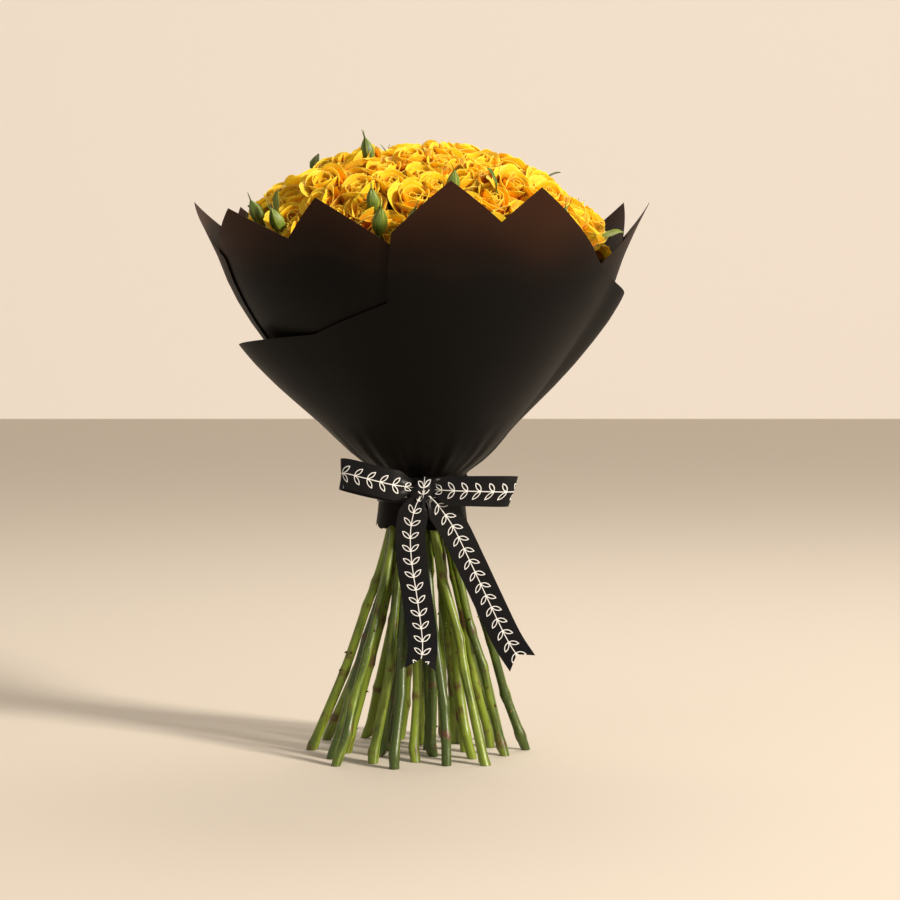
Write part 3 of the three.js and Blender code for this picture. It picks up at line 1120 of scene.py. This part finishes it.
@dataclass
class Wrap:
    """The black paper, gathered at the tie and flaring to a crown of corners."""

    axis: Vector
    thickness: float = 0.35
    crown_spread: float = 1.3
    collar_top: float = 240.0
    crown_from: float = 440.0
    sway: float = 1.6
    sway_phase: float = 0.9
    profile: tuple[tuple[float, float], ...] = (
        (194, 35.8), (203, 34.6), (212, 33.6), (225, 33.2), (237, 33.6), (241, 37.5),
        (246, 44.5), (256, 56), (268, 66.5), (280, 76), (296, 90), (311, 103), (330, 118),
        (348, 131), (366, 143.5), (383, 153.5), (400, 161.5), (421, 169), (445, 180), (476, 196),
    )
    sheets: tuple[Sheet, ...] = (
        Sheet("wrap_sheet_right", ((-60, 405), (-30, 412), (-3, 466), (12, 440), (26, 416)), (0, 1.6)),
        Sheet("wrap_sheet_right_back", ((4, 420), (24.5, 469), (42, 430), (60, 472), (80, 424)), (0, 1.6)),
        Sheet("wrap_sheet_back", ((72, 424), (92, 472), (107, 434), (122, 470), (142, 424)), (0, 1.6)),
        Sheet(
            "wrap_sheet_left_back",
            ((130, 424), (148, 466), (158, 440), (176, 467), (199, 418)), (0, 1.6),
        ),
        Sheet("wrap_sheet_left", ((188, 415), (214, 458), (233.5, 433), (245, 464), (268, 416)), (0, 1.6)),
        Sheet(
            "wrap_sheet_right_outer", ((298, 400), (320, 412), (340, 404), (357, 389)), (2.0, 2.2),
            Corner(357, 16, 11, 389),
        ),
        Sheet(
            "wrap_sheet_front",
            (
                (185, 346), (211, 352), (233, 357), (260, 382), (263, 436),
                (277, 476), (290.5, 445), (299, 472), (331, 408),
            ),
            (3.2, 3.2), Corner(185, 50, 22, 346), (176.0, 352.0),
        ),
    )
    rows: int = 44

    def grid(self, sheet: Sheet) -> tuple[Array, Array]:
        """The middle surface of one sheet and its texture places."""
        marks = np.array(sheet.edge, dtype=float)
        columns = [marks[0, 0]]
        for low, high in zip(marks[:-1, 0], marks[1:, 0]):
            columns.extend(np.linspace(low, high, max(4, int((high - low) / 1.4)) + 1)[1:])
        degrees = np.array(columns)
        top = np.interp(degrees, marks[:, 0], marks[:, 1])
        share = (degrees - degrees[0]) / (degrees[-1] - degrees[0])
        v = np.linspace(0.0, 1.0, self.rows)[:, None]
        low = self.profile[0][0] + 2.0 * np.sin(degrees / 5.0)
        height = low + (top - low) * v
        profile = np.array(self.profile)
        radius = np.interp(height, profile[:, 0], profile[:, 1])
        layer = sheet.layers[0] + (sheet.layers[1] - sheet.layers[0]) * share
        openness = smooth(height, self.collar_top, self.crown_from)
        radius = radius + layer * (1.0 + (self.crown_spread - 1.0) * openness)
        if sheet.corner:
            near = 1.0 - smooth(np.abs(degrees - sheet.corner.at), 0.0, sheet.corner.reach)
            radius = radius + sheet.corner.out * near * smooth(height, self.collar_top, sheet.corner.top)
        phase = self.sway_phase
        pleat = np.sin(np.radians(degrees) * 23 + phase)
        pleat = pleat + 0.6 * np.sin(np.radians(degrees) * 37 + 2 * phase)
        gather = smooth(height, 238, 247) * (1.0 - smooth(height, 247, 290))
        radius = radius + pleat * 0.7 * gather
        sway = np.sin(np.radians(degrees) * 5 + phase) * np.sin(height / 46.0 + phase)
        radius = radius + sway * self.sway * smooth(height, 270, 340)
        if sheet.foot:
            foot = sheet.foot[0] + share * (sheet.foot[1] - sheet.foot[0])
            angle = np.radians(foot + (degrees - foot) * smooth(height, 300, 400))
        else:
            angle = np.radians(np.broadcast_to(degrees, height.shape))
        x = self.axis.x / MM + radius * np.cos(angle)
        y = self.axis.y / MM + radius * np.sin(angle)
        uv = np.stack([np.broadcast_to(share, height.shape), (height - 194.0) / 280.0], axis=-1)
        return np.stack([x, y, height], axis=-1), uv

    def build(self, paper: bpy.types.Material) -> None:
        """Make every sheet.

        Args:
            paper: The paper's material.
        """
        for sheet in self.sheets:
            grid, uv = self.grid(sheet)
            shell = Shell()
            shell.wall(grid, uv, self.thickness)
            name = sheet.name.replace("wrap_sheet", "paper")
            piece = finish_piece(shell.build(name, [paper], 40.0), "paper", sheet.name)


# ---- ribbon ----


@dataclass(frozen=True)
class Strip:
    """One run of the ribbon: its middle line and how its faces lie."""

    name: str
    points: tuple[tuple[float, float, float], ...]
    upright: bool
    pinch_start: float
    pinch_end: float
    notch: float
    reverse: bool
    shear: float = 0.0


@dataclass
class Bow:
    """The printed satin ribbon: a band round the paper, two loops, a knot and two tails."""

    axis: Vector
    width: float = 25.0
    thickness: float = 0.4
    band_radius: float = 38.6
    band_width: float = 22.0
    pinch_reach: float = 20.0
    tie: float = 225.0
    strips: tuple[Strip, ...] = (
        Strip("ribbon_loop_left", (
            (-3, -49, 229), (-12, -53, 230), (-26, -58, 232.5), (-46, -59.5, 237.5),
            (-61, -56, 241), (-66, -51.5, 240.5), (-60, -47, 237.5), (-40, -47, 232.5),
            (-22, -46.5, 229.5), (-6, -45, 229)),
            True, 0.30, 0.35, 0.0, True),
        Strip("ribbon_loop_right", (
            (8, -45, 227), (26, -46.5, 226), (48, -47.5, 226), (68, -47, 226),
            (76, -51.5, 226), (69, -56.5, 226), (50, -59, 226.5), (28, -57.5, 227),
            (14, -53, 227.5), (5, -49, 228)),
            True, 0.35, 0.30, 0.0, False, 0.32),
        Strip("ribbon_tail_left", (
            (1, -51.5, 224), (-5, -52.5, 213), (-9, -51, 192), (-8, -52, 167),
            (-3, -55.5, 134), (1, -62, 101), (-1, -69, 80)),
            False, 0.35, 1.0, 9.0, True),
        Strip("ribbon_tail_right", (
            (5, -51, 224), (15, -51, 213), (27, -48.5, 195), (40, -46, 168),
            (55, -48, 136), (71, -52, 103), (84, -56, 83)),
            False, 0.35, 1.0, 9.0, False),
    )

    def strip(self, spec: Strip) -> tuple[Array, Array]:
        """The surface of one run of ribbon and its texture places in millimetres."""
        rows, columns = 110, 13
        path = smooth_path(spec.points, rows)
        path = path + np.array([self.axis.x / MM, self.axis.y / MM, 0.0])
        tangent = unit(np.gradient(path, axis=0))
        if spec.upright:
            across = unit(np.tile([0.0, 0.0, 1.0], (rows, 1)) - tangent * tangent[:, 2:3])
            across[:, 0] += spec.shear * smooth(path[:, 0], 20.0, 60.0)
        else:
            across = unit(np.cross(tangent, np.array([0.0, -1.0, 0.12])))
        normal = np.cross(across, tangent)
        along = np.concatenate([[0.0], np.cumsum(np.linalg.norm(np.diff(path, axis=0), axis=1))])
        length = along[-1]
        start = smooth(along, 0.0, self.pinch_reach)
        end = smooth(length - along, 0.0, self.pinch_reach)
        narrow = spec.pinch_start + (1 - spec.pinch_start) * start
        narrow = narrow * (spec.pinch_end + (1 - spec.pinch_end) * end)
        u = np.linspace(-0.5, 0.5, columns)
        fold = np.sin(u * 15.0 + 0.6)[None, :] * (1.0 - narrow)[:, None] * 2.6
        bow = (0.25 - u**2)[None, :] * 2.0
        cut = spec.notch * (1.0 - 2.0 * np.abs(u))
        shift = -cut[None, :] * smooth(along, length - 22.0, length)[:, None]
        spread = across[:, None, :] * (u * self.width)[None, :, None] * narrow[:, None, None]
        lift = normal[:, None, :] * (fold + bow)[..., None]
        grid = path[:, None, :] + spread + lift + tangent[:, None, :] * shift[..., None]
        where = along if not spec.reverse else length - along
        run = where[:, None] + (-shift if spec.reverse else shift)
        return grid, np.stack([run, np.tile(u * self.width, (rows, 1))], axis=-1)

    def band(self, satin: Sequence[bpy.types.Material]) -> None:
        """The turns of ribbon round the paper."""
        columns = 145
        turn = np.linspace(0.0, 2.0 * math.pi, columns)
        v = np.linspace(-0.5, 0.5, 13)
        crease = 0.5 * np.sin(v * 19.0)[:, None]
        crease = crease + 0.35 * np.sin(turn * 9.0)[None, :] * np.sin(v * 8.0)[:, None]
        radius = self.band_radius - 0.4 + crease
        height = self.tie + v[:, None] * self.band_width + 0.8 * np.sin(turn * 2.0)[None, :]
        x = self.axis.x / MM + radius * np.cos(turn)
        y = self.axis.y / MM + radius * np.sin(turn)
        grid = np.stack([x, y, np.broadcast_to(height, x.shape)], axis=-1)
        uv = np.stack([np.broadcast_to(turn * self.band_radius, x.shape),
                       np.broadcast_to(v[:, None] * self.width, x.shape)], axis=-1)
        shell = Shell()
        shell.wall(grid, uv, self.thickness, back_slot=1)
        piece = finish_piece(shell.build("satin_band", satin), "ribbon", "ribbon_band")

    def knot(self, satin: Sequence[bpy.types.Material]) -> None:
        """The knot: a short run of ribbon pulled tight round the loops."""
        v = np.linspace(0.0, 2.0 * math.pi, 61)[:, None]
        u = np.linspace(-0.5, 0.5, 17)[None, :]
        squeeze = 1.0 + 0.25 * np.cos(v) ** 2
        ridge = 0.55 * np.sin(u * 17.0 + np.sin(v) * 1.2)
        y = -47.5 + (-6.6 - ridge + 7.0 * u**2) * np.cos(v)
        z = 227.0 + (10.5 + ridge * 0.6 - 8.0 * u**2) * np.sin(v) + u * 3.0
        x = 2.0 + u * 17.5 * squeeze + 0.8 * np.sin(v)
        grid = np.stack([x + self.axis.x / MM, y + self.axis.y / MM, z], axis=-1)
        run = np.broadcast_to(v * 7.5, x.shape)
        uv = np.stack([run, np.broadcast_to(u * self.width, x.shape)], axis=-1)
        shell = Shell()
        shell.wall(grid, uv, self.thickness, back_slot=1)
        piece = finish_piece(shell.build("satin_knot", satin), "ribbon", "ribbon_knot")

    def build(self, satin: Sequence[bpy.types.Material]) -> None:
        """Make the whole ribbon.

        Args:
            satin: The printed face's material and the plain back's.
        """
        self.band(satin)
        self.knot(satin)
        for spec in self.strips:
            grid, uv = self.strip(spec)
            shell = Shell()
            shell.wall(grid, uv, self.thickness, back_slot=1)
            name = spec.name.replace("ribbon", "satin")
            piece = finish_piece(shell.build(name, satin), "ribbon", spec.name)


# ---- studio ----


@dataclass(frozen=True)
class Lamp:
    """A soft square light: places and size in metres, power in watts."""

    place: Point
    aim: Point
    size: float
    power: float
    colour: Colour


@dataclass
class Studio:
    """A pale floor and wall, soft lights and the camera."""

    axis: Vector
    lens: float = 104.0
    distance: float = 2.2
    aside: float = 0.0237
    eye_height: float = 0.388
    pitch_down: float = 3.4
    lamps: tuple[Lamp, ...] = (
        Lamp((3.9, -2.95, 2.45), (0, 0, 0.33), 0.85, 410.0, (1.0, 0.90, 0.77)),
        Lamp((-1.8, -1.8, 0.9), (0, 0, 0.30), 1.6, 4.0, (0.96, 0.97, 1.0)),
        Lamp((0.3, 1.0, 2.0), (0, 0, 0.45), 1.2, 12.0, (1.0, 0.95, 0.86)),
    )

    def floor(self) -> None:
        """A wide pale floor under the stems."""
        bpy.ops.object.select_all(action="DESELECT")
        bpy.ops.mesh.primitive_plane_add(size=12.0, location=(0.0, 0.0, -0.0004))
        floor = bpy.context.object
        floor.name = "floor"
        shader = Shader("floor", Roughness=0.9)
        shader.body.inputs["Specular IOR Level"].default_value = 0.1
        shader.body.inputs["Base Color"].default_value = (0.72, 0.66, 0.58, 1.0)
        floor.data.materials.append(shader.material)

    def backdrop(self) -> None:
        """A plain wall far behind the bouquet, bright enough to read as daylit plaster."""
        bpy.ops.object.select_all(action="DESELECT")
        bpy.ops.mesh.primitive_plane_add(
            size=24.0, location=(0.0, 6.0, 0.0), rotation=(math.radians(90), 0, 0)
        )
        wall = bpy.context.object
        wall.name = "backdrop"
        shader = Shader("backdrop", Roughness=0.9)
        shader.body.inputs["Base Color"].default_value = (0.5, 0.45, 0.4, 1.0)
        shader.body.inputs["Emission Color"].default_value = (0.86, 0.745, 0.62, 1.0)
        shader.body.inputs["Emission Strength"].default_value = 0.58
        wall.data.materials.append(shader.material)

    def light(self, lamp: Lamp) -> None:
        """Hang one soft square light.

        Args:
            lamp: Its place, aim, size, power and colour.
        """
        data = bpy.data.lights.new("soft_light", "AREA")
        data.shape = "SQUARE"
        data.size = lamp.size
        data.energy = lamp.power
        data.color = lamp.colour
        piece = bpy.data.objects.new("soft_light", data)
        piece.location = lamp.place
        facing = Vector(lamp.aim) - Vector(lamp.place)
        piece.rotation_euler = facing.to_track_quat("-Z", "Y").to_euler()
        bpy.context.scene.collection.objects.link(piece)

    def camera(self) -> None:
        """Look along +Y, a little down, from just right of the bouquet's middle."""
        data = bpy.data.cameras.new("camera")
        data.sensor_width = 36.0
        data.lens = self.lens
        camera = bpy.data.objects.new("camera", data)
        camera.location = (self.axis.x + self.aside, self.axis.y - self.distance, self.eye_height)
        camera.rotation_euler = (math.radians(90.0 - self.pitch_down), 0.0, 0.0)
        bpy.context.scene.collection.objects.link(camera)
        bpy.context.scene.camera = camera

    def build(self) -> None:
        """Set up the floor, lights, world and camera."""
        self.floor()
        self.backdrop()
        for lamp in self.lamps:
            self.light(lamp)
        world = bpy.data.worlds.new("studio")
        world.use_nodes = True
        world.node_tree.nodes["Background"].inputs["Color"].default_value = (0.86, 0.76, 0.66, 1.0)
        world.node_tree.nodes["Background"].inputs["Strength"].default_value = 0.40
        bpy.context.scene.world = world
        bpy.context.scene.view_settings.view_transform = "Standard"
        self.camera()


def main() -> None:
    """Build the bouquet from the tie outwards, then the studio."""
    logging.basicConfig(level=logging.INFO, format="%(name)s: %(message)s")
    low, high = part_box("ribbon_band")
    axis = Vector(((low[0] + high[0]) / 2, (low[1] + high[1]) / 2, 0.0))
    Studio(axis).build()
    Stems(axis).build(StemFinish().make(), CutFinish().make())
    bud_core = GreenFinish("bud_core", (0.45, 0.42, 0.02), (0.80, 0.62, 0.03), (0.85, 0.70, 0.10))
    Dome(axis).build(PetalFinish().make(), GreenFinish().make(), bud_core.make())
    Wrap(axis).build(PaperFinish().make())
    Bow(axis).build([RibbonFinish().make(), RibbonFinish("ribbon_plain", False).make()])


if __name__ == "__main__":
    main()
